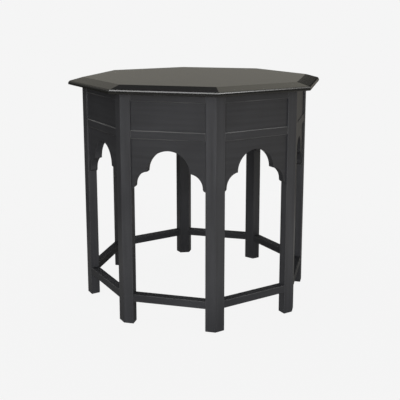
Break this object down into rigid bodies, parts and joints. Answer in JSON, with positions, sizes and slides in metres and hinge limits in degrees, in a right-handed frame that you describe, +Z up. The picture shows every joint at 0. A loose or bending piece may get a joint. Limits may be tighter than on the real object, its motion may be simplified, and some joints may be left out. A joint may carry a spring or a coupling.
{
  "type": "octagonal side table",
  "caption": "Octagonal side table on corner legs, with recessed panels, cusped arch boards, low stretchers and a bevelled top, to stand a tray or lamp on.",
  "frame": {"origin": "on the floor, under the middle of the top", "axes": "+Z up, side 1 faces -Y, +X to the right seen from side 1"},
  "size_m": [0.594, 0.594, 0.56],
  "materials": {
    "frame_paint": "charcoal black satin paint over close-grained wood",
    "top_paint": "charcoal black satin paint over close-grained wood",
    "screw_steel": "yellow zinc plated"
  },
  "bodies": {
    "root": {"table_top": "top_paint", "top_screws": "screw_steel", "leg_1": "frame_paint", "leg_2": "frame_paint", "leg_3": "frame_paint", "leg_4": "frame_paint", "leg_5": "frame_paint", "leg_6": "frame_paint", "leg_7": "frame_paint", "leg_8": "frame_paint", "top_rail_1": "frame_paint", "top_rail_2": "frame_paint", "top_rail_3": "frame_paint", "top_rail_4": "frame_paint", "top_rail_5": "frame_paint", "top_rail_6": "frame_paint", "top_rail_7": "frame_paint", "top_rail_8": "frame_paint", "panel_1": "frame_paint", "panel_2": "frame_paint", "panel_3": "frame_paint", "panel_4": "frame_paint", "panel_5": "frame_paint", "panel_6": "frame_paint", "panel_7": "frame_paint", "panel_8": "frame_paint", "middle_rail_1": "frame_paint", "middle_rail_2": "frame_paint", "middle_rail_3": "frame_paint", "middle_rail_4": "frame_paint", "middle_rail_5": "frame_paint", "middle_rail_6": "frame_paint", "middle_rail_7": "frame_paint", "middle_rail_8": "frame_paint", "arch_board_1": "frame_paint", "arch_board_2": "frame_paint", "arch_board_3": "frame_paint", "arch_board_4": "frame_paint", "arch_board_5": "frame_paint", "arch_board_6": "frame_paint", "arch_board_7": "frame_paint", "arch_board_8": "frame_paint", "stretcher_1": "frame_paint", "stretcher_2": "frame_paint", "stretcher_3": "frame_paint", "stretcher_4": "frame_paint", "stretcher_5": "frame_paint", "stretcher_6": "frame_paint", "stretcher_7": "frame_paint", "stretcher_8": "frame_paint"}
  },
  "joints": []
}
